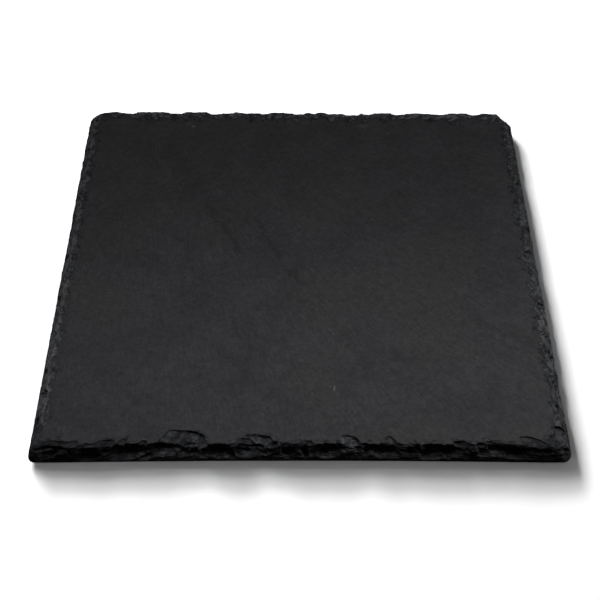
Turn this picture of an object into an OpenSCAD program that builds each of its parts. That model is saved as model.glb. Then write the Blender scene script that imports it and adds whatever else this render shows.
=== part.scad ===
// Slate serving board: one plate of riven slate with hand-dressed edges, standing on four
// self-adhesive foam pads. The origin is the centre of the footprint on the surface it stands on.
// +Z is up, +X is to the right and the front edge faces -Y.

/* [Slab] */
// Width of the slab from left to right
slab_w = 200; // [140:5:400]
// Depth of the slab from front to back
slab_d = 200; // [140:5:400]
// Thickness of the slab
slab_t = 7; // [4:0.5:14]
// How much shorter the right side is than the left
back_skew = 1.8; // [0:0.1:4]
// How far the middle of the front edge lies behind its two ends
front_hollow = 1; // [0:0.1:2]

/* [Dressed edges] */
// How far the face of the front edge leans in from bottom to top
front_lean = 1.3; // [0.5:0.1:4]
// How far the right edge leans in
right_lean = 3.6; // [1:0.1:5]
// How far the back edge leans in
back_lean = 3; // [1:0.1:5]
// How far the left edge leans in
left_lean = 4; // [1:0.1:5]
// How high each edge stands upright before its face starts to lean in
foot_h = 1.5; // [0:0.1:2]
// How far the longest shell-shaped scar reaches in
scar_reach = 8.6; // [4:0.2:10]
// How far the beds wander up and down along an edge
bed_wave = 0.3; // [0:0.05:0.5]

/* [Corners] */
// Radius of the front left corner
front_left_r = 3; // [1:0.5:9]
// Radius of the front right corner
front_right_r = 4; // [1:0.5:9]
// Radius of the back left corner
back_left_r = 6.5; // [1:0.5:9]
// Width of the piece knocked off the back right corner
knock_w = 5.6; // [3:0.2:9]
// Depth of the piece knocked off the back right corner
knock_d = 7.4; // [3:0.2:9]
// Radius left on both ends of that break
knock_r = 1.4; // [0.5:0.1:2]

/* [Feet] */
// Diameter of each foam pad
pad_dia = 12; // [8:0.5:20]
// Thickness of each foam pad
pad_t = 2; // [1:0.25:6]
// Rounding left by the die around the pad's lower rim
pad_edge_r = 0.4; // [0.1:0.1:0.8]
// Thickness of the adhesive film over each pad
film_t = 0.15; // [0.1:0.05:0.5]
// How far the film stops short of the pad's rim
film_margin = 0.25; // [0:0.05:1]
// Distance of each pad's centre from the two nearest edges
pad_inset = 20; // [16:1:50]

/* [Hidden] */

slate_colour = [0.19, 0.20, 0.21];
foam_colour = [0.08, 0.08, 0.085];
film_colour = [0.78, 0.76, 0.70];

// The slab rests on the films
slab_z = pad_t + film_t;

// Columns of the edge's mesh along each side of the outline, and around each rounded corner
cols = [124, 72, 3, 68, 68];
arc_cols = 5;

// Heights of the mesh's rows as shares of the thickness, closest where most treads lie
row_shares = [0, 0.11, 0.22, 0.30, 0.38, 0.46, 0.54, 0.62, 0.70, 0.78, 0.84, 0.89, 0.92, 0.95, 1];

// Every scar lies at a place counted in sides: 0 is the front left corner, 1 the front right, 2 the
// back right and 3 the back left. After its place come its half width as a share of a side, the
// heights where its floor starts and where its riser starts as shares of the thickness, and its
// reach as a share of the longest reach. A scar is a shell: its floor rises towards its two ends.
front_scar_shares = [
    [0.016, 0.030, 0.88, 0.94, 0.56], [0.018, 0.020, 0.58, 0.68, 0.30], [0.024, 0.020, 0.14, 0.52, 0.16],
    [0.050, 0.027, 0.86, 0.93, 0.48], [0.060, 0.019, 0.50, 0.72, 0.20], [0.092, 0.020, 0.90, 0.95, 0.19],
    [0.122, 0.023, 0.84, 0.92, 0.37], [0.150, 0.014, 0.91, 0.96, 0.46], [0.107, 0.024, 0.10, 0.22, 0.12],
    [0.180, 0.040, 0.15, 0.38, 0.27], [0.197, 0.011, 0.78, 0.86, 0.30], [0.213, 0.011, 0.10, 0.22, 0.12],
    [0.254, 0.066, 0.89, 0.94, 0.80], [0.240, 0.036, 0.30, 0.58, 0.34], [0.298, 0.027, 0.55, 0.75, 0.37],
    [0.262, 0.015, 0.42, 0.58, 0.25], [0.322, 0.012, 0.22, 0.38, 0.15], [0.345, 0.027, 0.26, 0.42, 0.22],
    [0.388, 0.034, 0.84, 0.92, 0.57], [0.394, 0.022, 0.74, 0.85, 0.39], [0.405, 0.034, 0.28, 0.70, 0.34],
    [0.385, 0.012, 0.30, 0.50, 0.27], [0.450, 0.014, 0.70, 0.82, 0.26], [0.482, 0.014, 0.22, 0.43, 0.14],
    [0.514, 0.014, 0.90, 0.95, 0.25], [0.517, 0.016, 0.60, 0.74, 0.18], [0.534, 0.016, 0.30, 0.50, 0.12],
    [0.560, 0.026, 0.22, 0.46, 0.22], [0.594, 0.031, 0.76, 0.91, 0.50], [0.583, 0.014, 0.46, 0.60, 0.22],
    [0.638, 0.019, 0.38, 0.54, 0.21], [0.668, 0.025, 0.22, 0.45, 0.22], [0.674, 0.014, 0.91, 0.96, 0.47],
    [0.676, 0.024, 0.80, 0.90, 0.16], [0.712, 0.014, 0.32, 0.50, 0.17], [0.727, 0.014, 0.62, 0.80, 0.17],
    [0.757, 0.028, 0.14, 0.36, 0.22], [0.790, 0.024, 0.28, 0.46, 0.21], [0.815, 0.020, 0.66, 0.90, 0.28],
    [0.848, 0.013, 0.70, 0.84, 0.21], [0.853, 0.016, 0.30, 0.48, 0.18], [0.871, 0.013, 0.90, 0.95, 0.31],
    [0.882, 0.027, 0.32, 0.56, 0.28], [0.905, 0.014, 0.22, 0.38, 0.17], [0.923, 0.017, 0.24, 0.42, 0.19],
    [0.955, 0.026, 0.89, 0.94, 0.54], [0.958, 0.024, 0.50, 0.62, 0.16], [1.003, 0.036, 0.74, 0.86, 0.64]];
right_scar_shares = [
    [1.075, 0.014, 0.44, 0.80, 0.46], [1.146, 0.020, 0.44, 0.88, 0.52], [1.210, 0.022, 0.34, 0.80, 0.50],
    [1.345, 0.020, 0.24, 0.80, 0.48], [1.406, 0.018, 0.44, 0.88, 0.54], [1.498, 0.020, 0.54, 0.88, 0.70],
    [1.630, 0.018, 0.68, 0.92, 0.56], [1.725, 0.020, 0.54, 0.88, 0.52], [1.818, 0.020, 0.44, 0.88, 0.54],
    [1.263, 0.014, 0.50, 0.88, 0.48]];
back_scar_shares = [
    [2.080, 0.022, 0.20, 0.60, 0.42], [2.168, 0.026, 0.24, 0.68, 0.40], [2.270, 0.022, 0.34, 0.76, 0.44],
    [2.343, 0.020, 0.24, 0.64, 0.46], [2.385, 0.026, 0.10, 0.54, 0.50], [2.516, 0.022, 0.34, 0.68, 0.44],
    [2.606, 0.028, 0.30, 0.76, 0.42], [2.719, 0.024, 0.24, 0.68, 0.46], [2.814, 0.026, 0.20, 0.64, 0.44],
    [2.935, 0.026, 0.34, 0.80, 0.44]];
left_scar_shares = [
    [3.130, 0.020, 0.34, 0.76, 0.52], [3.229, 0.018, 0.54, 0.88, 0.58], [3.297, 0.022, 0.34, 0.68, 0.52],
    [3.428, 0.022, 0.30, 0.76, 0.51], [3.560, 0.018, 0.44, 0.80, 0.50], [3.720, 0.020, 0.54, 0.88, 0.58],
    [3.890, 0.024, 0.44, 0.80, 0.56]];

// Smaller flakes that the hammer left between them, on each side in turn and in hammer order
flakes_per_side = [8, 34, 34, 34];
// Least and most of a flake's half width, floor, slope and reach, as the same kinds of shares
flake_least_shares = [0.010, -0.10, 0.12, 0.08];
flake_most_shares = [0.030, 0.70, 0.42, 0.34];
// How far a flake may lie off its even place, as a share of the distance between two flakes
flake_stray_share = 0.8;
// How much higher a scar's floor lies at its ends than in its middle, as a share of the thickness
scar_rise_share = 0.1;
// How the leaning face curves over: 1 would be straight
lean_curve = 1.2;

// A fraction from 0 to 1 that looks like chance and is always the same for the same two numbers
function chance(i, k) = let (v = sin(i * 127.1 + k * 311.7) * 43758.5) v - floor(v);

flake_shares = [for (side = [0:3], i = [0:flakes_per_side[side] - 1])
    let (n = flakes_per_side[side], seed = side * 40 + i,
         kind = [for (k = [0:3]) flake_least_shares[k]
             + (flake_most_shares[k] - flake_least_shares[k]) * chance(seed, k + 2)])
    [side + (i + 1 / 2 + (chance(seed, 1) - 1 / 2) * flake_stray_share) / n,
        kind[0], kind[1], kind[1] + kind[2], kind[3]]];

scars = concat(front_scar_shares, right_scar_shares, back_scar_shares, left_scar_shares, flake_shares);

// Half width of the change from one side's lean to the next, as a share of a side
blend_share = 0.04;

function unit(v) = v / norm(v);

// Corners of the outline drawn in by an inset, anticlockwise from the front left
function corners(inset, cut_w, cut_d) =
    let (x = slab_w / 2 - inset, y = slab_d / 2 - inset)
    [[-x, -y], [x, -y], [x, y - back_skew - cut_d], [x - cut_w, y - back_skew], [-x, y]];

corner_r = [front_left_r, front_right_r, knock_r, knock_r, back_left_r];
corner_places = [0, 1, 2 - knock_d / slab_d, 2 + knock_w / slab_w, 3];

// Arc of radius r that is tangent to both sides of corner b
function corner_arc(a, b, c, r) =
    let (u = unit(a - b), v = unit(c - b), half = acos(u * v) / 2,
         centre = b + unit(u + v) * r / sin(half),
         start = b + u * r / tan(half) - centre,
         from = atan2(start[1], start[0]), turn = 180 - 2 * half)
    [for (i = [0:arc_cols]) centre + r * [cos(from + turn * i / arc_cols), sin(from + turn * i / arc_cols)]];

// Points of a rounded outline: the arc at each corner and then the straight side after it
function ring(p) =
    let (n = len(p),
         arcs = [for (i = [0:n - 1]) corner_arc(p[(i + n - 1) % n], p[i], p[(i + 1) % n], corner_r[i])])
    [for (i = [0:n - 1])
        let (last = arcs[i][arc_cols], next = arcs[(i + 1) % n][0])
        each concat(arcs[i], [for (k = [1:cols[i] - 1]) last + (next - last) * k / cols[i]])];

// Place of each of those points, counted in sides around the board
function ring_places() =
    let (n = len(cols), reach = [for (r = corner_r) min(2 * r / (slab_w + slab_d), blend_share)])
    [for (i = [0:n - 1])
        let (here = corner_places[i], after = i == n - 1 ? 4 : corner_places[i + 1],
             from = here + reach[i] / 2, to = after - reach[(i + 1) % n] / 2)
        each concat([for (k = [0:arc_cols]) here + reach[i] * (k / arc_cols - 1 / 2)],
                    [for (k = [1:cols[i] - 1]) from + (to - from) * k / cols[i]])];

// The scars cut in from the outer ring along lines that lead to the inner ring
band_d = scar_reach + front_hollow;
outer = ring(corners(0, knock_w, knock_d));
inner = ring(corners(band_d, knock_w / 2, knock_d / 2));
inward = (inner - outer) / band_d;
places = ring_places();
last_col = len(outer) - 1;

// Lean of the edge at a place, blended over the corners
function lean_at(place) =
    let (lean = [front_lean, right_lean, back_lean, left_lean],
         near = round(place), gap = place - near, share = max(-1, min(1, gap / blend_share)),
         before = lean[(near + 3) % 4], after = lean[near % 4])
    (before + after) / 2 + (after - before) / 2 * share;

// Hollow of the front edge at a place, an arch over the first side
function hollow_at(place) = place > 1 ? 0 : front_hollow * 4 * max(0, place * (1 - place));

// Distance between two places around the board
function gap_between(a, b) = let (d = abs(a - b) % 4) min(d, 4 - d);

// Scars that reach over a place, each with the share of its reach that it has there
function scars_near(place) = [for (s = scars)
    let (gap = gap_between(place, s[0]) / s[1])
    if (gap < 1)
        let (rise = scar_rise_share * gap * gap)
        [s[2] + rise, s[3] + rise, s[4] * sqrt(1 - pow(gap, 3))]];

// Deepest cut of the given scars at a height, as a share of the longest reach
function scar_at(near, height) = max([0, for (s = near)
    s[2] * max(0, min(1, (height - s[0]) / (s[1] - s[0])))]);

// Share of its full lean that the face has at a height, none below the upright foot
function lean_share(height) =
    let (foot = foot_h / slab_t)
    pow(max(0, (height - foot) / (1 - foot)), lean_curve);

// Up and down wave of the beds at a place: nothing at the two faces and most halfway up
function wave_at(place, height) =
    bed_wave * (sin(630 * place) + sin(1350 * place + 40)) / 2 * 4 * height * (1 - height);

// One column of the edge from its foot to its lip
function column(j) =
    let (place = places[j], near = scars_near(place), lean = lean_at(place), hollow = hollow_at(place))
    [for (height = row_shares)
        let (cut = hollow + max(lean * lean_share(height), scar_reach * scar_at(near, height)),
             xy = outer[j] + inward[j] * cut)
        [xy[0], xy[1], height * slab_t + wave_at(place, height)]];

module slab_solid() {
    rows = len(row_shares);
    n = last_col + 1;
    columns = [for (j = [0:last_col]) column(j)];
    points = concat([for (j = [0:last_col]) each columns[j]], [[0, 0, 0], [0, 0, slab_t]]);
    sides = [for (j = [0:last_col], r = [0:rows - 2])
        let (a = j * rows + r, b = (j + 1) % n * rows + r, c = b + 1, d = a + 1)
        each (r + j) % 2 == 0 ? [[a, c, b], [a, d, c]] : [[a, d, b], [d, c, b]]];
    caps = [for (j = [0:last_col])
        let (k = (j + 1) % n)
        each [[j * rows, k * rows, n * rows], [k * rows + rows - 1, j * rows + rows - 1, n * rows + 1]]];
    polyhedron(points, concat(sides, caps));
}

module slab() {
    color(slate_colour) translate([0, 0, slab_z]) slab_solid();
}

// Places a pad or its film under one corner: side is -1 for left and 1 for right, end is -1 for
// front and 1 for back
module at_foot(side, end, z) {
    translate([side * (slab_w / 2 - pad_inset), end * (slab_d / 2 - pad_inset), z]) children();
}

// Foam disc, its lower rim rounded where the die pressed it
module foot_pad(side, end) {
    flat_r = pad_dia / 2 - pad_edge_r;
    rim = [for (a = [0:15:90]) [flat_r + pad_edge_r * sin(a), pad_edge_r * (1 - cos(a))]];
    color(foam_colour) at_foot(side, end, 0) rotate_extrude($fn = 96)
        polygon(concat([[0, 0]], rim, [[pad_dia / 2, pad_t], [0, pad_t]]));
}

// Round of adhesive film between the pad and the stone
module foot_film(side, end) {
    color(film_colour) at_foot(side, end, pad_t)
        cylinder(h = film_t, d = pad_dia - 2 * film_margin, $fn = 96);
}

slab();
foot_pad(-1, -1);  // foot_pad_front_left
foot_pad(1, -1);  // foot_pad_front_right
foot_pad(-1, 1);  // foot_pad_back_left
foot_pad(1, 1);  // foot_pad_back_right
foot_film(-1, -1);  // foot_film_front_left
foot_film(1, -1);  // foot_film_front_right
foot_film(-1, 1);  // foot_film_back_left
foot_film(1, 1);  // foot_film_back_right
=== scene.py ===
"""A slate serving board on four foam pads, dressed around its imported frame. Metres, +Z up, front at -Y."""

import bpy
import numpy as np
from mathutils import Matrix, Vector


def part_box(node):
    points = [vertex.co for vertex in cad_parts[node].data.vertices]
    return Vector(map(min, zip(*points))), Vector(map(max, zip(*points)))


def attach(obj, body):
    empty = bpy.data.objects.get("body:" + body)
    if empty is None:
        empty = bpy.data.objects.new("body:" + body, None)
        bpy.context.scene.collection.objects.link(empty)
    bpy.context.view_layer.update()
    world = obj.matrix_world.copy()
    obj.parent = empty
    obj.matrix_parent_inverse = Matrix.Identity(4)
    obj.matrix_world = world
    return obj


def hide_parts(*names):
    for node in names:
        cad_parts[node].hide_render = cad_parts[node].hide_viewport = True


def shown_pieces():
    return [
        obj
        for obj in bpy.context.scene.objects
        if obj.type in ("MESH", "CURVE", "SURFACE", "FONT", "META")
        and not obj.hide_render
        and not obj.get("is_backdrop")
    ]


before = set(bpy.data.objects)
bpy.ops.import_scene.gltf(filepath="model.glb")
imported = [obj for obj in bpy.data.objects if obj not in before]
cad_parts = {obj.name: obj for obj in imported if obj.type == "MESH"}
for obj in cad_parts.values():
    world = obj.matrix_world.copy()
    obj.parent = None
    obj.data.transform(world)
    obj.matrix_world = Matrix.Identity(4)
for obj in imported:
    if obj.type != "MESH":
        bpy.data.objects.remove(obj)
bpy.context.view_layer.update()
mm = 0.001

# The plate is one slab of natural slate, split along its cleavage and then knocked to size from
# above with a dressing hammer. Its two faces stay riven, and its four edges are covered in
# overlapping shell-shaped scars that lean in towards the serving face.


def box_of(node):
    """Low and high corner of a frame node's box."""
    low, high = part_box(node)
    return np.array(low), np.array(high)


slab_low, slab_high = box_of("slab")
slab_w, slab_t = slab_high[0] - slab_low[0], slab_high[2] - slab_low[2]

# The outline is a square with a shorter right side, a hollow front and its back right corner knocked
# off. Its five corners are listed anticlockwise from the front left, and values of the four sides
# from the front. One side's value turns into the next one's within a share of a side of the corner
slab_d = slab_w
back_skew, front_hollow = 1.8 * mm, 1 * mm
knock_w, knock_d = 5.6 * mm, 7.4 * mm
corner_r = np.array([3, 4, 1.4, 1.4, 6.5]) * mm
edge_lean = np.array([2.0, 3.2, 1.9, 3.6]) * mm
blend_share = 0.04

# Scars at or near their places in the frame, the front's upper ones deeper: place counted in sides
# from the front left corner, half width in sides, heights of the floor and the riser in
# thicknesses, and reach in longest reaches
scar_reach = 8.6 * mm
front_scar_shares = [
    [0.016, 0.030, 0.88, 0.94, 0.46], [0.018, 0.020, 0.58, 0.68, 0.30], [0.024, 0.020, 0.14, 0.50, 0.16],
    [0.050, 0.027, 0.86, 0.93, 0.46], [0.057, 0.013, 0.50, 0.80, 0.17], [0.092, 0.020, 0.90, 0.95, 0.31],
    [0.122, 0.023, 0.84, 0.92, 0.49], [0.150, 0.014, 0.91, 0.96, 0.59], [0.107, 0.024, 0.10, 0.20, 0.12],
    [0.180, 0.040, 0.15, 0.36, 0.28], [0.197, 0.011, 0.78, 0.86, 0.42], [0.213, 0.011, 0.10, 0.20, 0.12],
    [0.254, 0.066, 0.85, 0.91, 0.93], [0.240, 0.036, 0.30, 0.56, 0.35], [0.298, 0.027, 0.55, 0.75, 0.38],
    [0.262, 0.015, 0.42, 0.56, 0.26], [0.322, 0.012, 0.22, 0.36, 0.15], [0.345, 0.027, 0.26, 0.40, 0.23],
    [0.406, 0.048, 0.84, 0.92, 0.69], [0.394, 0.022, 0.74, 0.85, 0.52], [0.405, 0.034, 0.28, 0.70, 0.35],
    [0.385, 0.012, 0.30, 0.48, 0.28], [0.450, 0.014, 0.70, 0.82, 0.39], [0.482, 0.014, 0.22, 0.41, 0.15],
    [0.514, 0.014, 0.90, 0.95, 0.37], [0.517, 0.016, 0.60, 0.74, 0.18], [0.534, 0.016, 0.30, 0.48, 0.12],
    [0.560, 0.026, 0.22, 0.44, 0.23], [0.594, 0.031, 0.76, 0.91, 0.63], [0.583, 0.014, 0.46, 0.58, 0.23],
    [0.638, 0.019, 0.38, 0.52, 0.22], [0.668, 0.025, 0.22, 0.43, 0.23], [0.674, 0.014, 0.91, 0.96, 0.60],
    [0.676, 0.024, 0.80, 0.90, 0.28], [0.712, 0.014, 0.32, 0.48, 0.18], [0.727, 0.014, 0.62, 0.80, 0.18],
    [0.757, 0.028, 0.14, 0.34, 0.23], [0.790, 0.024, 0.28, 0.44, 0.22], [0.815, 0.020, 0.66, 0.90, 0.41],
    [0.848, 0.013, 0.70, 0.84, 0.34], [0.853, 0.016, 0.30, 0.46, 0.18], [0.871, 0.013, 0.90, 0.95, 0.43],
    [0.882, 0.027, 0.32, 0.54, 0.29], [0.905, 0.014, 0.22, 0.36, 0.18], [0.923, 0.017, 0.24, 0.40, 0.20],
    [0.955, 0.026, 0.89, 0.94, 0.67], [0.958, 0.024, 0.50, 0.62, 0.16], [1.005, 0.029, 0.72, 0.90, 0.66]]
other_scar_shares = [
    [1.075, 0.014, 0.44, 0.80, 0.46], [1.146, 0.020, 0.44, 0.88, 0.52], [1.210, 0.022, 0.34, 0.80, 0.50],
    [1.345, 0.020, 0.24, 0.80, 0.48], [1.406, 0.018, 0.44, 0.88, 0.54], [1.498, 0.020, 0.54, 0.88, 0.70],
    [1.630, 0.018, 0.68, 0.92, 0.56], [1.725, 0.020, 0.54, 0.88, 0.52], [1.818, 0.020, 0.44, 0.88, 0.54],
    [2.080, 0.022, 0.20, 0.60, 0.34], [2.168, 0.026, 0.24, 0.68, 0.32], [2.270, 0.022, 0.34, 0.76, 0.36],
    [2.343, 0.020, 0.24, 0.64, 0.38], [2.385, 0.026, 0.10, 0.54, 0.42], [2.516, 0.022, 0.34, 0.68, 0.36],
    [2.606, 0.028, 0.30, 0.76, 0.34], [2.719, 0.024, 0.24, 0.68, 0.38], [2.814, 0.026, 0.20, 0.64, 0.36],
    [2.935, 0.026, 0.34, 0.80, 0.36], [3.130, 0.020, 0.34, 0.76, 0.44], [3.229, 0.018, 0.54, 0.88, 0.50],
    [3.297, 0.022, 0.34, 0.68, 0.44], [3.428, 0.022, 0.50, 0.76, 0.32], [3.560, 0.018, 0.44, 0.80, 0.42],
    [3.720, 0.020, 0.54, 0.88, 0.50], [3.890, 0.024, 0.44, 0.80, 0.48], [1.263, 0.014, 0.50, 0.88, 0.48]]

# Flakes too many to place one by one: how many lie on each side from the front, and the least and
# most of their half width, floor, rise from the floor to the riser, and reach, in the same shares
broad_counts, small_counts = [8, 34, 34, 34], [34]
broad_least_shares, broad_most_shares = [0.010, 0.04, 0.12, 0.08], [0.030, 0.70, 0.42, 0.34]
small_least_shares, small_most_shares = [0.005, 0.10, 0.06, 0.10], [0.013, 0.80, 0.16, 0.28]
broad_stray, small_stray = 0.8, 0.9
chance_steps, chance_spread, side_seeds = (127.1, 311.7), 43758.5, 40


def chance(i, k):
    """Fraction from 0 to 1: the broken part of a large sine of two whole numbers, as in the frame."""
    v = np.sin(np.radians(i * chance_steps[0] + k * chance_steps[1])) * chance_spread
    return v - np.floor(v)


def hammer_flakes(counts, least, most, stray):
    """Flakes on each side in turn: evenly spaced places, each moved by chance within stray
    spacings, and a half width, floor, rise and reach by chance between least and most."""
    rows = []
    for side, count in enumerate(counts):
        for i in range(count):
            seed = side * side_seeds + i
            draws = [chance(seed, k) for k in (2, 3, 4, 5)]
            half, floor, rise, reach = (a + (b - a) * draw for a, b, draw in zip(least, most, draws))
            place = side + (i + 0.5 + (chance(seed, 1) - 0.5) * stray) / count
            rows.append([place, half, floor, floor + rise, reach])
    return rows


flakes = hammer_flakes(broad_counts, broad_least_shares, broad_most_shares, broad_stray)
flakes += hammer_flakes(small_counts, small_least_shares, small_most_shares, small_stray)
scars = np.array(front_scar_shares + other_scar_shares + flakes)

# A scar's floor rises to its two ends by the bowl, and to its right end alone by the tilt, both in
# thicknesses. The tilt goes by chance, and the front's upper scars also fall to the right and its
# lower ones rise. Noise moves a scar's outline by the ragged shares of a side and a thickness, and
# its riser climbs in one step to each bed, the more marked the nearer the bed step is to 1
scar_bowl, chance_tilt, upper_tilt, lower_tilt, upper_floor = 0.10, 0.16, -0.10, 0.09, 0.7
scar_tilt = chance_tilt * (chance(np.arange(len(scars)), 7) - 0.5)
front_floor = np.array(front_scar_shares)[:, 2]
scar_tilt[:len(front_floor)] += np.where(front_floor > upper_floor, upper_tilt, lower_tilt)
place_ragged, height_ragged = 0.006, 0.05
bed_count, bed_step = 13, 0.85

lattice_rows = 64


def value_noise(x, y, period, seed):
    """Smooth noise from -1 to 1: chance values on a unit lattice, blended with a cubic fade. It
    repeats along x after a whole number of cells, so that it can close round the board."""
    lattice = np.random.default_rng(seed).uniform(-1, 1, (period, lattice_rows))
    xi, yi = np.floor(x).astype(int), np.floor(y).astype(int)
    fx, fy = x - xi, y - yi
    fx, fy = fx * fx * (3 - 2 * fx), fy * fy * (3 - 2 * fy)
    left, right = xi % period, (xi + 1) % period
    below, above = yi % lattice_rows, (yi + 1) % lattice_rows
    low = lattice[left, below] * (1 - fx) + lattice[right, below] * fx
    high = lattice[left, above] * (1 - fx) + lattice[right, above] * fx
    return low * (1 - fy) + high * fy


def cell_bowls(x, y, period, seed):
    """Shallow bowls with sharp ridges between them, from 0 on the ridges to 1 in their middles: one
    minus the squared distance to the nearest of the points scattered one to a lattice cell."""
    jitter = np.random.default_rng(seed).uniform(0.1, 0.9, (period, lattice_rows, 2))
    xi, yi = np.floor(x).astype(int), np.floor(y).astype(int)
    nearest = np.ones(np.broadcast(x, y).shape)
    for i in (-1, 0, 1):
        for j in (-1, 0, 1):
            spot = jitter[(xi + i) % period, (yi + j) % lattice_rows]
            away = (xi + i + spot[..., 0] - x) ** 2 + (yi + j + spot[..., 1] - y) ** 2
            nearest = np.minimum(nearest, away)
    return 1 - nearest


def edge_noise(along, up, layers):
    """Sum of a noise's layers at places counted in sides and a distance up or across from there.
    A layer is a weight, cells to a side, rows to a unit of that distance, and a seed, and it closes
    after the fourth side."""
    return sum(weight * value_noise(along * cells, up * rows, 4 * cells, seed)
               for weight, cells, rows, seed in layers)


# Columns of the mesh along each straight, of which the short one crosses the knocked-off corner,
# and round each corner, and rows up the edge
side_cols, arc_cols, edge_rows = [640, 380, 12, 380, 380], 12, 36


def unit(v):
    """Vector of length 1 along v."""
    return v / np.linalg.norm(v)


def rounded_outline(inset, cut_w, cut_d):
    """Outline of the board drawn in by an inset, anticlockwise from the front left: at each corner
    an arc tangent to both sides, and then a straight side of evenly spaced points."""
    x, y = slab_w / 2 - inset, slab_d / 2 - inset
    corners = np.array([[-x, -y], [x, -y], [x, y - back_skew - cut_d],
                        [x - cut_w, y - back_skew], [-x, y]])
    arcs = []
    for before, here, after, r in zip(np.roll(corners, 1, 0), corners, np.roll(corners, -1, 0), corner_r):
        u, v = unit(before - here), unit(after - here)
        half = np.arccos(u @ v) / 2
        centre = here + unit(u + v) * r / np.sin(half)
        start = here + u * r / np.tan(half) - centre
        angle = np.arctan2(start[1], start[0]) + (np.pi - 2 * half) * np.linspace(0, 1, arc_cols + 1)
        arcs.append(centre + r * np.stack([np.cos(angle), np.sin(angle)], axis=1))
    ring = []
    for arc, after, cols in zip(arcs, arcs[1:] + arcs[:1], side_cols):
        t = np.arange(1, cols)[:, None] / cols
        ring += [arc, arc[-1] + (after[0] - arc[-1]) * t]
    return np.concatenate(ring)


def outline_places():
    """Place of each outline point counted in sides, passing each corner's arc in a short step."""
    here = np.array([0, 1, 2 - knock_d / slab_d, 2 + knock_w / slab_w, 3, 4])
    step = np.minimum(2 * corner_r / (slab_w + slab_d), blend_share)
    parts = []
    for i, cols in enumerate(side_cols):
        start, end = here[i] + step[i] / 2, here[i + 1] - step[(i + 1) % len(step)] / 2
        parts += [here[i] + step[i] * (np.arange(arc_cols + 1) / arc_cols - 0.5),
                  start + (end - start) * np.arange(1, cols) / cols]
    return np.concatenate(parts)


def by_side(values, at):
    """Value of each side at the given places, turning evenly into the next one's round a corner."""
    near = np.round(at)
    share = np.clip((at - near) / blend_share, -1, 1)
    before, after = values[(near.astype(int) + 3) % 4], values[near.astype(int) % 4]
    return (before + after) / 2 + (after - before) / 2 * share


band_d = scar_reach + front_hollow
outer = rounded_outline(0, knock_w, knock_d)
inward = (rounded_outline(band_d, knock_w / 2, knock_d / 2) - outer) / band_d
places = outline_places()[:, None]

# The edge stands upright on its foot and leans in above it. Its fine chips are bed ends, flat bowls
# and small spalls, which share one depth. By side: how deep the chips are, and how much of them
# reaches the foot, above which they grow to their full depth within the rise
foot_share, face_power = 0.22, 2.0
chip_depth, chip_rise = 1 * mm, 0.3
end_share, flat_share, spall_share = 0.36, 0.50, 0.26
edge_chip = np.array([1.25, 1, 1.2, 1])
foot_chip = np.array([0.10, 0.5, 0.8, 0.35])

# Noises that shape the edge, in layers for edge_noise, and cells of the bowls to a side and rows of
# them to a thickness
scar_bend, scar_lift = [(0.6, 90, 6, 15), (0.4, 260, 13, 16)], [(0.6, 70, 5, 17), (0.4, 220, 11, 18)]
seam_sway, chip_sway = [(2.5, 26, 2, 19)], [(0.5, 60, 3, 14)]
fine_beds, bed_break, bed_ends = 16, [(0.8, 24, 0, 5)], [(0.5, 70, 7.37, 11)]
flat_cells, flat_rows, spall_cells, spall_rows = 46, 4.6, 130, 10


def edge_cut(height):
    """How far the edge lies in from its outline: the front's hollow, plus the deeper of the leaning
    face and the deepest scar there, plus fine beds that end a little before one another. A scar is
    a tilted shell: its reach falls off to its two ends, its floor rises there, and it climbs from
    its floor to its riser in small steps, one to a bed. Noise makes its outline ragged."""
    hollow = np.where(places > 1, 0, front_hollow * 4 * np.maximum(0, places * (1 - places)))
    bend, lift = edge_noise(places, height, scar_bend), edge_noise(places, height, scar_lift)
    seam = 2 * np.pi * bed_count * height + edge_noise(places, height, seam_sway)
    level = height + bed_step * np.sin(seam) / (2 * np.pi * bed_count) + height_ragged * lift
    deepest = np.zeros_like(height)
    for (centre, half, floor, riser, reach), tilt in zip(scars, scar_tilt):
        offset = (places[:, 0] - centre + 2) % 4 - 2
        beside = np.abs(offset) < half + place_ragged
        gap = np.clip((offset[beside][:, None] + place_ragged * bend[beside]) / half, -1, 1)
        tip = scar_bowl * gap ** 2 + tilt * gap
        slope = np.clip((level[beside] - floor - tip) / (riser - floor), 0, 1)
        deepest[beside] = np.maximum(deepest[beside], reach * np.sqrt(1 - np.abs(gap) ** 3) * slope)
    bed = np.floor(height * fine_beds + edge_noise(places, height, bed_break))
    ends = 0.5 + edge_noise(places, bed, bed_ends)
    sway = edge_noise(places, height, chip_sway)
    flats = cell_bowls(places * flat_cells + sway, height * flat_rows + sway, 4 * flat_cells, seed=12)
    spalls = cell_bowls(places * spall_cells + sway, height * spall_rows - sway, 4 * spall_cells, seed=13)
    foot = by_side(foot_chip, places)
    rise = foot + (1 - foot) * np.clip((height - foot_share / 2) / chip_rise, 0, 1)
    fine = (end_share * ends + flat_share * flats + spall_share * spalls) * chip_depth
    lean = np.clip((height - foot_share) / (1 - foot_share), 0, 1) ** face_power
    face = by_side(edge_lean, places) * lean
    return hollow + np.maximum(face, scar_reach * deepest) + fine * rise * by_side(edge_chip, places)


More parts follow.
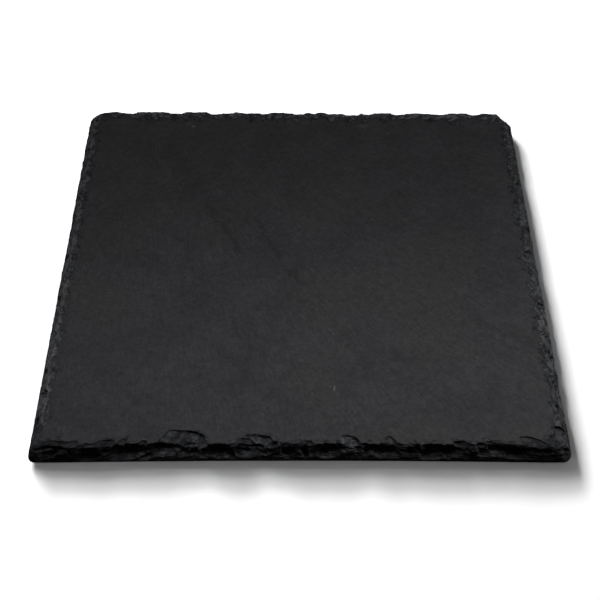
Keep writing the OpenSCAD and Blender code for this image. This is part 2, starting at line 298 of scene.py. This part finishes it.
def row_heights(samples=120, reach=9, even_share=0.45):
    """Heights of the edge's rows in each column: spaced partly evenly and partly along the
    profile's own length, so that wide treads get rows too, and averaged over the columns within
    reach to keep the rows in line."""
    height = np.broadcast_to(np.linspace(0, 1, samples + 1), (len(places), samples + 1))
    run = np.cumsum(np.hypot(np.diff(edge_cut(height), axis=1), slab_t / samples), axis=1)
    run = np.concatenate([np.zeros((len(places), 1)), run], axis=1)
    travel = even_share * height + (1 - even_share) * run / run[:, -1:]
    weights = np.hanning(2 * reach + 3)[1:-1]
    travel = sum(w * np.roll(travel, k - reach, axis=0) for k, w in enumerate(weights)) / weights.sum()
    wanted = np.linspace(0, 1, edge_rows)
    above = np.clip((travel[:, None, :] < wanted[None, :, None]).sum(axis=2), 1, samples)
    low, high = np.take_along_axis(travel, above - 1, 1), np.take_along_axis(travel, above, 1)
    heights = (above - 1 + np.clip((wanted - low) / (high - low), 0, 1)) / samples
    heights[:, 0], heights[:, -1] = 0, 1
    return heights


# A riven face has long low swells, short ripples, and hackle that fans out from a point behind the
# left end of the back edge. It stays flat where a pad is stuck on
hackle_x, hackle_y, hackle_to_radian = -70 * mm, 110 * mm, 26
swell_w, swell_d, swell_depth = 46 * mm, 38 * mm, 0.11 * mm
hackle_l, hackle_depth = 60 * mm, 0.05 * mm
ripple_w, ripple_d, ripple_depth = 13 * mm, 17 * mm, 0.03 * mm
pad_flat_r, pad_fade = 7 * mm, 6 * mm
pad_places = [np.mean(box_of(node), axis=0)[:2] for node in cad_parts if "pad" in node]


def face_relief(x, y):
    """Depth of a riven face below its highest plane: the sum of three noises, of which the hackle's
    is drawn in polar coordinates round its source. Each is shifted to stay on cells above 0."""
    angle, reach = np.arctan2(y - hackle_y, x - hackle_x), np.hypot(y - hackle_y, x - hackle_x)
    swell = value_noise(x / swell_w + 9, y / swell_d + 5, 64, seed=21)
    hackle = value_noise(angle * hackle_to_radian + 90, reach / hackle_l, 512, seed=22)
    ripple = value_noise(x / ripple_w + 30, y / ripple_d + 30, 64, seed=23)
    waves = [(swell_depth, swell), (hackle_depth, hackle), (ripple_depth, ripple)]
    return sum(depth * (0.5 + 0.5 * wave) for depth, wave in waves)


def pad_clearance(x, y):
    """0 over the pads, where the face stays flat for them, rising to 1 a few millimetres outside."""
    away = np.min([np.hypot(x - px, y - py) for px, py in pad_places], axis=0)
    return np.clip((away - pad_flat_r) / pad_fade, 0, 1)


# Brightness of dressed stone by side: on the edge, how far bruises change it there, on the rim of a face,
# and how far it reaches in from the rim. On the edge the level is partly the stone's own paleness and partly
# painted light and shade that differs by side, lowest at the front. Painted shade darkens the front's two
# ends, over a span of places from its middle, and its top, over a span of heights, where painted light
# brightens its foot
edge_tone_and_side_light, bruise_level = np.array([1.0, 1.7, 1.9, 2.8]), np.array([0.65, 0.75, 0.6, 0.6])
rim_level, rim_reach = np.array([0.9, 1.75, 2.7, 1.75]), np.array([1.3, 2.6, 4.6, 2.4]) * mm
end_span, painted_end_shade = [0.31, 0.39, 0.52, 0.60], [1, 0.55, 0.55, 1]
top_span, painted_foot_light_top_shade = [0.70, 0.85], [0.12, -0.20]
bruises, rim_bruises = [(1, 75, 2.2, 35), (0.6, 190, 5, 36)], [(0.35, 190, 1, 38)]
rim_dust, dust_share = [(1, 110, 1, 34), (0.6, 280, 1.7, 37)], 0.6
rim_share, rim_sharpness = 0.75, 3


def edge_tone_and_painted_light(heights):
    """Brightness of the edge's dressed stone: its side's level, partly painted light, bruised by noise,
    times the painted shade of the front's ends and the painted shade of its top and painted light of its
    foot."""
    bruised = by_side(bruise_level, places) * edge_noise(places, heights, bruises)
    # Painted shade on the front's ends and top, painted light at its foot
    from_front = np.abs((places + 1.5) % 4 - 2)
    on_front = by_side(np.array([1, 0, 0, 0]), places)
    painted_height_light = 1 + on_front * np.interp(heights, top_span, painted_foot_light_top_shade)
    return (by_side(edge_tone_and_side_light, places) + bruised) * np.interp(from_front, end_span, painted_end_shade) * painted_height_light


def rim_brightness(along, inset):
    """Brightness of dressed stone at an inset from a face's rim: its side's level, bruised by
    noise, as far in as its side's reach, where it breaks up into dust."""
    across = np.full(len(along), inset / mm)
    dust = dust_share * edge_noise(along, across, rim_dust)
    within = rim_share - inset / by_side(rim_reach, along) + dust
    level = by_side(rim_level, along) + edge_noise(along, across, rim_bruises)
    return np.clip(rim_sharpness * within, 0, 1) * level


def strip(a, b):
    """Triangles between ring a and ring b inside it, which has as many points or half as many."""
    a1, b1 = np.roll(a, -1), np.roll(b, -1)
    if len(a) == len(b):
        return np.concatenate([np.stack([a, a1, b1], 1), np.stack([a, b1, b], 1)])
    return np.concatenate([np.stack([a[::2], a[1::2], b], 1), np.stack([a[1::2], b1, b], 1),
                           np.stack([a[1::2], a1[1::2], b1], 1)])


# Rings on the faces: distance from the rim, and whether they keep each of the rim's points, each
# second one or each fourth one
top_rings = [(d * mm, 1) for d in (0.4, 1.0, 1.8)] + [(d * mm, 2) for d in (2.9, 4.3, 6)]
top_rings += [(d * mm, 4) for d in np.linspace(8, 98, 30)]
under_rings = [(0.8 * mm, 1), (2 * mm, 2), (4 * mm, 4)] + [(d * mm, 4) for d in np.linspace(7, 96, 14)]

# The beds wave along the edge in two sines of so many degrees to a side, rubble roughens them, and
# the serving face's rim crumbles. A face's outline turns smooth and its relief grows within
# distances from the rim, and dressed stone shows on it no further in than the rim's width
bed_wave, long_wave, short_wave, short_start = 0.3 * mm, 630, 1350, 40
rubble, rubble_depth = [(1, 150, 24, 32), (0.6, 330, 50, 33)], 0.10 * mm
crumble_noise, crumble_depth, crumble_fade = [(1, 55, 0, 31)], 0.16 * mm, 1.2 * mm
crumble_from, crumble_rise = 0.85, 0.15
smooth_inset, smooth_within, relief_within = 4.5 * mm, 9 * mm, 1.5 * mm
top_rim_w, under_rim_w, middle_depth = 7 * mm, 1 * mm, 0.08 * mm


def slab_skin():
    """The plate as one closed skin, and the brightness of dressed stone at its points, which carries painted
    light and shade on the edge and is 0 where a face is riven. The edge is a grid of columns and rows, drawn
    in by its cut. A face has rings that shrink from the rim to the middle, where they are scaled copies of a
    smooth outline, and its relief goes into the stone."""
    heights = row_heights()
    xy = outer[:, None, :] + inward[:, None, :] * edge_cut(heights)[:, :, None]
    wave = np.sin(np.radians(long_wave * places)) + np.sin(np.radians(short_wave * places + short_start))
    rough = bed_wave * wave / 2 + rubble_depth * edge_noise(places, heights, rubble)
    crumble = crumble_depth * edge_noise(places, places, crumble_noise) ** 2
    z = slab_low[2] + heights * slab_t + rough * 4 * heights * (1 - heights)
    z -= crumble * np.clip((heights - crumble_from) / crumble_rise, 0, 1)
    columns = len(places)
    count = columns * edge_rows
    here = (np.arange(columns)[:, None] * edge_rows + np.arange(edge_rows - 1)).ravel()
    there = (here + edge_rows) % count
    points = [np.concatenate([xy, z[:, :, None]], axis=2).reshape(-1, 3)]
    faces = [np.stack([here, there, there + 1], 1), np.stack([here, there + 1, here + 1], 1)]
    levels = [edge_tone_and_painted_light(heights).ravel()]
    smooth = outer + inward * smooth_inset
    for rings, row, base, into, rim_w in [(top_rings, edge_rows - 1, slab_high[2], -1, top_rim_w),
                                          (under_rings, 0, slab_low[2], 1, under_rim_w)]:
        last = np.arange(columns) * edge_rows + row
        for inset, every in rings:
            soften = min(1, inset / smooth_within)
            ring = xy[::every, row] * (1 - soften) + smooth[::every] * soften
            ring = ring * (1 - inset / (slab_w / 2))
            depth = face_relief(ring[:, 0], -into * ring[:, 1]) * min(1, inset / relief_within)
            if into < 0:
                depth = depth + crumble[::every, 0] * np.exp(-inset / crumble_fade)
            else:
                depth = depth * pad_clearance(ring[:, 0], ring[:, 1])
            ids = count + np.arange(len(ring))
            points.append(np.column_stack([ring, base + into * depth]))
            levels.append(rim_brightness(places[::every, 0], inset) * (inset < rim_w))
            faces.append(strip(last, ids)[:, ::-into])
            last, count = ids, count + len(ring)
        points.append(np.array([[0, 0, base + into * middle_depth]]))
        levels.append(np.zeros(1))
        fan = np.stack([last, np.roll(last, -1), np.full(len(last), count)], 1)
        faces.append(fan[:, ::-into])
        count += 1
    return np.concatenate(points), np.concatenate(faces), np.concatenate(levels)


def new_piece(name, points, faces, material, smooth_below=180):
    """A mesh object at the origin from arrays of points and triangles, shaded smooth except across
    edges that turn by more than the given angle."""
    mesh = bpy.data.meshes.new(name)
    mesh.from_pydata(points.tolist(), [], faces.tolist())
    mesh.shade_smooth()
    mesh.set_sharp_from_angle(angle=np.radians(smooth_below))
    mesh.materials.append(material)
    piece = bpy.data.objects.new(name, mesh)
    bpy.context.scene.collection.objects.link(piece)
    return piece


class Nodes:
    """A short way to place shader nodes: inputs are given by name or number, as values or sockets."""

    def __init__(self, tree):
        self.tree = tree

    def add(self, kind, inputs=None, **settings):
        """A node with its settings and inputs."""
        node = self.tree.nodes.new(kind)
        for key, value in settings.items():
            setattr(node, key, value)
        for key, value in (inputs or {}).items():
            if isinstance(value, bpy.types.NodeSocket):
                self.tree.links.new(value, node.inputs[key])
            else:
                node.inputs[key].default_value = value
        return node

    def place(self):
        """Place on the piece, in metres."""
        return self.add("ShaderNodeTexCoord").outputs["Object"]

    def math(self, operation, a, b=0.0):
        """Result of an operation on one or two values."""
        return self.add("ShaderNodeMath", {0: a, 1: b}, operation=operation).outputs[0]

    def vector(self, operation, a, b=(0, 0, 0), result=0):
        """Result of an operation on one or two vectors: 0 is a vector and 1 a length or product."""
        return self.add("ShaderNodeVectorMath", {0: a, 1: b}, operation=operation).outputs[result]

    def mix(self, share, a, b, blend="MIX"):
        """Colour a with a share of colour b blended in."""
        node = self.add("ShaderNodeMix", {0: share, 6: a, 7: b}, data_type="RGBA", blend_type=blend)
        return node.outputs[2]

    def noise(self, vector, scale, detail=2.0, rough=0.55):
        """Noise from 0 to 1 with so many cells to a metre."""
        node = self.add("ShaderNodeTexNoise",
                        {"Vector": vector, "Scale": scale, "Detail": detail, "Roughness": rough})
        return node.outputs[0]

    def ramp(self, value, low, high, to_low=0.0, to_high=1.0, kind="SMOOTHSTEP"):
        """Value that goes from to_low to to_high as the given one goes from low to high."""
        node = self.add("ShaderNodeMapRange", {0: value, 1: low, 2: high, 3: to_low, 4: to_high},
                        interpolation_type=kind)
        return node.outputs[0]

    def shade(self, colour, value, low, high, dark, bright, kind="LINEAR"):
        """Colour times a level that goes from dark to bright as the value goes from low to high."""
        return self.mix(1.0, colour, self.ramp(value, low, high, dark, bright, kind), "MULTIPLY")


def new_material(name):
    """An empty node material, its nodes and its output node."""
    material = bpy.data.materials.new(name)
    material.use_nodes = True
    material.node_tree.nodes.clear()
    nodes = Nodes(material.node_tree)
    return material, nodes, nodes.add("ShaderNodeOutputMaterial")


# Streaks of the hackle: cells to a metre, and how long and how many the steps are each way along it
streak_scale, streak_step, streak_steps = 1100, 0.9 * mm, 3


def streak_group():
    """Streaks that follow the hackle: the mean of a fine noise at several steps along the line from
    the hackle's source, so that they keep one width while they fan out."""
    tree = bpy.data.node_groups.new("hackle streaks", "ShaderNodeTree")
    tree.interface.new_socket("Place", in_out="INPUT", socket_type="NodeSocketVector")
    tree.interface.new_socket("Scale", in_out="INPUT", socket_type="NodeSocketFloat")
    tree.interface.new_socket("Step", in_out="INPUT", socket_type="NodeSocketFloat")
    tree.interface.new_socket("Value", in_out="OUTPUT", socket_type="NodeSocketFloat")
    g = Nodes(tree)
    given, result = g.add("NodeGroupInput").outputs, g.add("NodeGroupOutput").inputs
    away = g.vector("SUBTRACT", given["Place"], (hackle_x, hackle_y, 0))
    line = g.vector("NORMALIZE", g.vector("MULTIPLY", away, (1, 1, 0)))
    total = 0.0
    for k in range(-streak_steps, streak_steps + 1):
        reach = g.math("MULTIPLY", given["Step"], k)
        shift = g.add("ShaderNodeVectorMath", {0: line, "Scale": reach}, operation="SCALE").outputs[0]
        total = g.math("ADD", total, g.noise(g.vector("ADD", given["Place"], shift), given["Scale"]))
    tree.links.new(g.math("MULTIPLY", total, 1 / (2 * streak_steps + 1)), result[0])
    return tree


# Long faint marks of the cleavage, in millimetres from one end to the other, how wide and how dark,
# and pale crumbs of quartz, from one end to the other, how wide and how bright
riven_marks = [((-40.6, 32.3), (-24.6, 2.7), 2.0, 0.85), ((-18.6, 23.1), (-8.2, -0.6), 2.0, 0.85),
               ((-4.8, -7.6), (1.3, -16.1), 2.0, 0.85), ((66, -33), (93, -48), 6.0, 0.5),
               ((-58, 72), (-46, 40), 7.0, 0.5), ((-30, -50), (-19, -67), 4.0, 0.5),
               ((17, -43), (26, -60), 3.0, 0.5), ((36, -50), (40, -57), 2.0, 0.7)]
pale_crumbs = [((-50.2, 86.1), (-49.4, 86.1), 1.1, 0.085), ((40.2, 80.9), (41.0, 81.0), 0.7, 0.055),
               ((13.3, -69.4), (12.8, -71.4), 0.6, 0.075), ((11.4, -69.4), (11.3, -69.8), 0.5, 0.055),
               ((28.4, 86.2), (31.2, 86.4), 1.8, 0.050), ((-52.5, 88.0), (-51, 87.6), 1.6, 0.045)]
mark_sway, crumb_sway = 5, 1.5


def long_mark(n, place, start, end, width, sway):
    """Mask of a soft straight mark between two points in millimetres: how far a place lies across
    the line, moved by noise within so many widths, and how far past its ends, both against its
    width. A finer noise makes it patchy."""
    start, end, width = np.array(start) * mm, np.array(end) * mm, width * mm
    length = np.linalg.norm(end - start)
    along, across = (end - start) / length, np.array([start[1] - end[1], end[0] - start[0]]) / length
    offset = n.vector("SUBTRACT", place, (*start, 0))
    reach = n.vector("DOT_PRODUCT", offset, (*along, 0), result=1)
    beside = n.vector("DOT_PRODUCT", offset, (*across, 0), result=1)
    moved = n.math("SUBTRACT", n.noise(place, 260, detail=4.0, rough=0.6), 0.5)
    beside = n.math("ADD", beside, n.math("MULTIPLY", moved, sway * width))
    near = n.ramp(n.math("ABSOLUTE", beside), 0.2 * width, width, 1, 0)
    beyond = n.math("SUBTRACT", n.math("ABSOLUTE", n.math("SUBTRACT", reach, length / 2)), length / 2)
    inside = n.ramp(beyond, -0.3 * width, 0.9 * width, 1, 0)
    patchy = n.ramp(n.noise(place, 520), 0.38, 0.62, 0.55, 1)
    return n.math("MULTIPLY", n.math("MULTIPLY", near, inside), patchy)


# Colours of the riven stone in its dark and its pale mottles and where it is faintly brown, of its
# long marks and its flecks, and of broken stone between and on its beds. The grains of the riven
# stone are cells to a metre, and how dark and how bright they make it
riven_dark, riven_pale = (0.0258, 0.0257, 0.0277, 1), (0.0304, 0.0303, 0.0327, 1)
riven_brown, mark_dark = (0.0302, 0.0301, 0.0297, 1), (0.0190, 0.0192, 0.0204, 1)
fleck_pale = (0.055, 0.055, 0.056, 1)
broken_dark, broken_pale = (0.0145, 0.0152, 0.0168, 1), (0.039, 0.040, 0.0425, 1)
coarse_grains = [(820, 0.86, 1.14), (330, 0.90, 1.10)]
grain_scale, crystal_scale, bed_scale, bed_stretch, fleck_scale = 1900, 900, 340, (1, 1, 5), 130.0
grain_bump, streak_bump, crystal_bump, bump_depth = 0.55, 0.35, 1.6, 0.12 * mm


def riven_colour(n, place, streak, grain):
    """Riven stone: two darks in mottles and a faint brown, times the streaks and the grains, and
    over them the long marks, a fleck in some cells of a lattice, and the crumbs."""
    mottle, brown = n.noise(place, 70, detail=5.0, rough=0.6), n.noise(place, 26)
    colour = n.mix(n.ramp(mottle, 0.35, 0.65), riven_dark, riven_pale)
    colour = n.mix(n.math("MULTIPLY", n.ramp(brown, 0.5, 0.66), 0.5), colour, riven_brown)
    colour = n.shade(colour, streak, 0, 1, 0.88, 1.12)
    for scale, dark, bright in coarse_grains:
        colour = n.shade(colour, n.noise(place, scale), 0.3, 0.7, dark, bright)
    colour = n.shade(colour, grain, 0.3, 0.7, 0.93, 1.07)
    for start, end, width, dark in riven_marks:
        mark = long_mark(n, place, start, end, width, mark_sway)
        colour = n.mix(n.math("MULTIPLY", mark, dark), colour, mark_dark)
    flecks = n.add("ShaderNodeTexVoronoi", {"Vector": place, "Scale": fleck_scale}, feature="F1").outputs
    cell = n.add("ShaderNodeSeparateColor", {0: flecks["Color"]}).outputs[0]
    spot = n.ramp(flecks["Distance"], 0.025, 0.055, 1, 0)
    colour = n.mix(n.math("MULTIPLY", n.ramp(cell, 0.74, 0.76), spot), colour, fleck_pale)
    for start, end, width, bright in pale_crumbs:
        crumb = long_mark(n, place, start, end, width, crumb_sway)
        colour = n.mix(crumb, colour, (bright, bright, bright, 1))
    return colour


def broken_colour(n, broken, beds, crystals):
    """Broken stone: dark and pale beds, times the crystals and the brightness it is given, which carries
    painted light and shade, and times painted shade that makes a break darker where it faces forward, right
    or down than where it faces up, back or left."""
    colour = n.mix(n.ramp(beds, 0.40, 0.60), broken_dark, broken_pale)
    colour = n.shade(colour, crystals, 0.34, 0.68, 0.68, 1.38)
    # The given brightness carries painted light and shade
    colour = n.shade(colour, broken, 0.3, 3.3, 0.45, 2.8)
    normal = n.add("ShaderNodeNewGeometry").outputs["True Normal"]
    right, back, up = n.add("ShaderNodeSeparateXYZ", {0: normal}).outputs
    # Painted light and shade by facing: lighter facing up, back or left, darker facing forward, right or
    # down
    painted_facing_light = n.math("MAXIMUM", up, n.math("MULTIPLY", back, 0.6))
    painted_facing_light = n.math("MAXIMUM", painted_facing_light, n.math("MULTIPLY", right, -0.6))
    return n.shade(colour, painted_facing_light, 0.15, 0.75, 0.30, 0.92, "SMOOTHSTEP")


def slate_finish():
    """Slate: a dark, faintly blue stone with a tight grain and streaks along the hackle on its riven
    faces, and rougher, finely bedded broken stone on its dressed edges."""
    material, n, out = new_material("natural slate")
    place = n.place()
    # The dressed attribute brings the brightness of broken stone, with its painted light and shade
    broken = n.add("ShaderNodeAttribute", attribute_name="dressed").outputs["Fac"]
    streaks = n.add("ShaderNodeGroup", {"Place": place, "Scale": streak_scale, "Step": streak_step},
                    node_tree=streak_group())
    streak = n.ramp(streaks.outputs[0], 0.43, 0.57, kind="LINEAR")
    grain = n.noise(place, grain_scale, detail=3.0, rough=0.6)
    stretched = n.add("ShaderNodeMapping", {"Vector": place, "Scale": bed_stretch}).outputs[0]
    beds = n.noise(stretched, bed_scale, detail=4.0, rough=0.65)
    crystals = n.noise(place, crystal_scale, detail=4.0, rough=0.7)
    riven, dressed = riven_colour(n, place, streak, grain), broken_colour(n, broken, beds, crystals)
    colour = n.mix(n.ramp(broken, 0, 0.6, kind="LINEAR"), riven, dressed)
    height = n.math("ADD", n.math("MULTIPLY", grain, grain_bump), n.math("MULTIPLY", streak, streak_bump))
    rubbly = n.math("ADD", n.math("MULTIPLY", crystals, crystal_bump), beds)
    height = n.math("ADD", height, n.math("MULTIPLY", broken, rubbly))
    bump = n.add("ShaderNodeBump", {"Strength": 0.5, "Distance": bump_depth, "Height": height})
    rough = n.math("ADD", 0.78, n.math("MULTIPLY", n.math("ADD", grain, broken), 0.10))
    stone = n.add("ShaderNodeBsdfPrincipled", {"Base Color": colour, "Roughness": rough,
                                               "Specular IOR Level": 0.04, "Normal": bump.outputs[0]})
    n.tree.links.new(stone.outputs[0], out.inputs[0])
    return material


# The dressed attribute holds the brightness of dressed stone, with the edge's painted light and shade
points, faces, levels = slab_skin()
slate = new_piece("slate_plate", points, faces, slate_finish(), smooth_below=30)
slate.data.attributes.new("dressed", "FLOAT", "POINT").data.foreach_set("value", levels.astype(np.float32))
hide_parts("slab")
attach(slate, "root")

# Each foot is a disc die-cut from a sheet of black closed-cell foam. The die leaves the lower rim
# rounded and the wall a little drawn in, and cut cells show as fine pores all over it.
foot_corners = ("front_left", "front_right", "back_left", "back_right")
foam_rim_r, foam_waist, foam_cell_w, foam_pit_depth = 0.4 * mm, 0.06 * mm, mm / 3, 0.08 * mm
foam_dark, foam_pale = (0.009, 0.009, 0.010, 1), (0.022, 0.022, 0.023, 1)
foam_dust = (0.05, 0.05, 0.048, 1)


def foam_profile(low, high, radius):
    """From the middle of the underside out: a flat, a rounded rim, a wall drawn in by a hair at
    half height, and the flat top under the film."""
    a = np.linspace(0, np.pi / 2, 9)
    corner = np.stack([radius - foam_rim_r + foam_rim_r * np.sin(a),
                       low + foam_rim_r * (1 - np.cos(a))], axis=1)
    t = np.linspace(0, 1, 9)[1:]
    wall = np.stack([radius - foam_waist * np.sin(np.pi * t),
                     low + foam_rim_r + (high - low - foam_rim_r) * t], axis=1)
    spread = np.linspace(0, 1, 7)[1:-1] * (radius - foam_rim_r)
    flat = np.stack([spread, np.full(5, low)], axis=1)
    lid = np.stack([spread[::-1], np.full(5, high)], axis=1)
    return np.concatenate([flat, corner, wall, lid])


def revolved(centre, profile, columns=96):
    """Closed skin of a profile of radius and height turned about a vertical line through a centre,
    from a point on the line below to a point on it above."""
    turn = 2 * np.pi * np.arange(columns)[:, None] / columns
    r, z = profile[:, 0][None, :], profile[:, 1][None, :]
    skin = np.stack([centre[0] + r * np.cos(turn), centre[1] + r * np.sin(turn), z + 0 * turn], axis=2)
    poles = [[centre[0], centre[1], profile[0, 1]], [centre[0], centre[1], profile[-1, 1]]]
    rows = len(profile)
    here = (np.arange(columns)[:, None] * rows + np.arange(rows - 1)).ravel()
    there = (here + rows) % (columns * rows)
    foot = np.arange(columns) * rows
    after = np.roll(foot, -1)
    low, high = np.full(columns, columns * rows), np.full(columns, columns * rows + 1)
    faces = [np.stack([here, there, there + 1], 1), np.stack([here, there + 1, here + 1], 1),
             np.stack([after, foot, low], 1), np.stack([foot + rows - 1, after + rows - 1, high], 1)]
    return np.concatenate([skin.reshape(-1, 3), poles]), np.concatenate(faces)


def foam_finish():
    """Black foam: cells a third of a millimetre across, some cut open as pits, painted darker towards each
    cell's middle as the pits' shade, and dust.
    """
    material, n, out = new_material("black foam")
    place = n.place()
    foam_cells = n.add("ShaderNodeTexVoronoi", {"Vector": place, "Scale": 1 / foam_cell_w}, feature="F1")
    cells = foam_cells.outputs["Distance"]
    dust = n.noise(place, 500, detail=4.0)
    # Painted shade in the pits: darker towards each cell's middle
    colour = n.mix(n.ramp(cells, 0.1, 0.6), foam_dark, foam_pale)
    colour = n.mix(n.math("MULTIPLY", n.ramp(dust, 0.55, 0.75), 0.35), colour, foam_dust)
    bump = n.add("ShaderNodeBump", {"Strength": 0.6, "Distance": foam_pit_depth, "Height": cells})
    foam = n.add("ShaderNodeBsdfPrincipled", {"Base Color": colour, "Roughness": 0.88,
                                              "Specular IOR Level": 0.3, "Normal": bump.outputs[0]})
    n.tree.links.new(foam.outputs[0], out.inputs[0])
    return material


foam = foam_finish()
for corner in foot_corners:
    low, high = box_of("foot_pad_" + corner)
    shape = revolved((low + high)[:2] / 2, foam_profile(low[2], high[2], (high - low)[0] / 2))
    pad = new_piece("foam_disc_" + corner, *shape, foam, smooth_below=50)
    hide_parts("foot_pad_" + corner)
    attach(pad, "root")

# Over each pad lies a round of double-sided adhesive film, pale and slightly milky, pressed onto
# the stone. It stops a quarter of a millimetre short of the pad's rim.
film_wave_scale, film_speck_scale, film_wave_depth = 700, 2600, 0.05 * mm
film_dark, film_pale, film_specks = (0.50, 0.47, 0.40, 1), (0.60, 0.57, 0.50, 1), (0.12, 0.12, 0.12, 1)


def film_profile(low, high, radius):
    """From the middle of the underside out: a flat, a rim that bulges where it was pressed, and the
    flat top."""
    a = np.linspace(0, np.pi, 9)
    half = (high - low) / 2
    rim = np.stack([radius - half + half * np.sin(a), low + half * (1 - np.cos(a))], axis=1)
    spread = np.linspace(0, 1, 6)[1:-1] * (radius - half)
    return np.concatenate([np.stack([spread, np.full(4, low)], axis=1), rim,
                           np.stack([spread[::-1], np.full(4, high)], axis=1)])


def film_finish():
    """Adhesive film: cream plastic with a faint wave and trapped specks of slate dust."""
    material, n, out = new_material("adhesive film")
    place = n.place()
    wave, specks = n.noise(place, film_wave_scale), n.noise(place, film_speck_scale)
    colour = n.mix(n.ramp(wave, 0.3, 0.7), film_dark, film_pale)
    colour = n.mix(n.math("MULTIPLY", n.ramp(specks, 0.62, 0.72), 0.5), colour, film_specks)
    bump = n.add("ShaderNodeBump", {"Strength": 0.3, "Distance": film_wave_depth, "Height": wave})
    film = n.add("ShaderNodeBsdfPrincipled", {"Base Color": colour, "Roughness": 0.35,
                                              "Normal": bump.outputs[0]})
    n.tree.links.new(film.outputs[0], out.inputs[0])
    return material


adhesive = film_finish()
for corner in foot_corners:
    low, high = box_of("foot_film_" + corner)
    shape = revolved((low + high)[:2] / 2, film_profile(low[2], high[2], (high - low)[0] / 2))
    film = new_piece("adhesive_round_" + corner, *shape, adhesive, smooth_below=50)
    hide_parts("foot_film_" + corner)
    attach(film, "root")

# The studio is a white table top in a white room, and none of it belongs to the object. Three soft
# panels far behind the left of the board light everything, three more light the board alone, from
# close above, from the right and from below, and one lights the table alone.
table_half, table_z = 4.0, -0.02 * mm
shadow_r, plain_r = 175 * mm, 290 * mm


def table_finish(seen, mirrored, thrown):
    """White table top: a matt surface with one shade to the camera, another in reflections and
    through glass, and a third for the light that it throws back on the board. Past the board's
    shadow it turns plain white to the camera, and seen from below it is clear."""
    material, n, out = new_material("white table")
    path = n.add("ShaderNodeLightPath").outputs
    look = n.math("MAXIMUM", path["Is Glossy Ray"], path["Is Transmission Ray"])
    shade = n.ramp(look, 0, 1, thrown, mirrored, "LINEAR")
    shade = n.ramp(path["Is Camera Ray"], 0, 1, shade, seen, "LINEAR")
    matt = n.add("ShaderNodeBsdfDiffuse", {"Color": shade}).outputs[0]
    away = n.ramp(n.vector("LENGTH", n.place(), result=1), shadow_r, plain_r)
    plain = n.math("MULTIPLY", away, path["Is Camera Ray"])
    white = n.add("ShaderNodeEmission", {"Color": (1, 1, 1, 1), "Strength": 1.0}).outputs[0]
    table = n.add("ShaderNodeMixShader", {0: plain, 1: matt, 2: white}).outputs[0]
    below = n.add("ShaderNodeNewGeometry").outputs["Backfacing"]
    clear = n.add("ShaderNodeBsdfTransparent").outputs[0]
    whole = n.add("ShaderNodeMixShader", {0: below, 1: table, 2: clear}).outputs[0]
    n.tree.links.new(whole, out.inputs[0])
    return material


def white_room(ambient):
    """World: white to the camera and through glass and, near the horizon, in reflections, but dim
    to everything else."""
    world = bpy.data.worlds.new("white room")
    bpy.context.scene.world = world
    world.use_nodes = True
    world.node_tree.nodes.clear()
    n = Nodes(world.node_tree)
    path = n.add("ShaderNodeLightPath").outputs
    look = n.math("MAXIMUM", path["Is Camera Ray"], path["Is Transmission Ray"])
    heading = n.add("ShaderNodeTexCoord").outputs["Generated"]
    height = n.add("ShaderNodeSeparateXYZ", {0: heading}).outputs[2]
    horizon = n.math("MULTIPLY", path["Is Glossy Ray"], n.ramp(height, 0.1, 0.4, 1, 0))
    level = n.ramp(n.math("MAXIMUM", look, horizon), 0, 1, ambient, 1, "LINEAR")
    sky = n.add("ShaderNodeBackground", {"Color": (1, 1, 1, 1), "Strength": level})
    n.tree.links.new(sky.outputs[0], n.add("ShaderNodeOutputWorld").inputs[0])


def soft_panel(name, place, width, depth, power, turn=(0, 0, 0), lit=(), through=False):
    """Rectangular lamp that faces down and is then turned by angles about the three axes. It lights
    only the given objects, or everything if none is given, and may shine through all others."""
    light = bpy.data.lights.new(name, "AREA")
    light.shape, light.size, light.size_y, light.energy = "RECTANGLE", width, depth, power
    lamp = bpy.data.objects.new(name, light)
    bpy.context.scene.collection.objects.link(lamp)
    lamp.location, lamp.rotation_euler = place, np.radians(turn)
    lamp.visible_camera = False
    if lit:
        lamp.light_linking.receiver_collection = bpy.data.collections.new(name + " receivers")
    if through:
        lamp.light_linking.blocker_collection = bpy.data.collections.new(name + " blockers")
    for thing in lit:
        lamp.light_linking.receiver_collection.objects.link(thing)
        if through:
            lamp.light_linking.blocker_collection.objects.link(thing)


ground_corners = np.array([[-1, -1], [1, -1], [1, 1], [-1, 1]]) * table_half
ground_corners = np.column_stack([ground_corners, np.full(4, table_z)])
ground = new_piece("table_top", ground_corners, np.array([[0, 1, 2], [0, 2, 3]]),
                   table_finish(seen=5.6, mirrored=0.9, thrown=0.1))
ground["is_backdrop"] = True
white_room(ambient=0.022)
back_panels = [("high", 0.69, 0.50, 1.5), ("middle", 1.36, 0.84, 9.2), ("low", 2.375, 1.19, 40)]
for name, y, depth, power in back_panels:
    soft_panel(name + " panel", (-1.05, y, 1.2), 0.92, depth, power)
soft_panel("near panel", (0.06, -0.055, 0.139), 0.40, 0.06, 0.30, (-30, 0, 0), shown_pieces())
soft_panel("right panel", (0.45, -0.01, 0.30), 0.20, 0.20, 1.0, (0, 56, 0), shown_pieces())
soft_panel("under panel", (0, 0, -0.5), 0.5, 0.5, 1.1, (180, 0, 0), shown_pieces(), through=True)
soft_panel("table panel", (-1.2, -0.9, 0.4), 0.6, 0.3, 0.75, (75, 0, -53), [ground])

# The camera was fitted to the board's four corners. It is tilted up from straight down, and its film
# and lens are in millimetres
camera_place, camera_tilt, camera_film_w, camera_lens = (0, -0.3602, 0.3676), 43.1, 36, 72.96
camera = bpy.data.objects.new("photo view", bpy.data.cameras.new("photo view"))
bpy.context.scene.collection.objects.link(camera)
camera.location, camera.rotation_euler = camera_place, (np.radians(camera_tilt), 0, 0)
camera.data.sensor_fit = "HORIZONTAL"
camera.data.sensor_width, camera.data.lens = camera_film_w, camera_lens
bpy.context.scene.camera = camera
bpy.context.scene.view_settings.view_transform = "Standard"
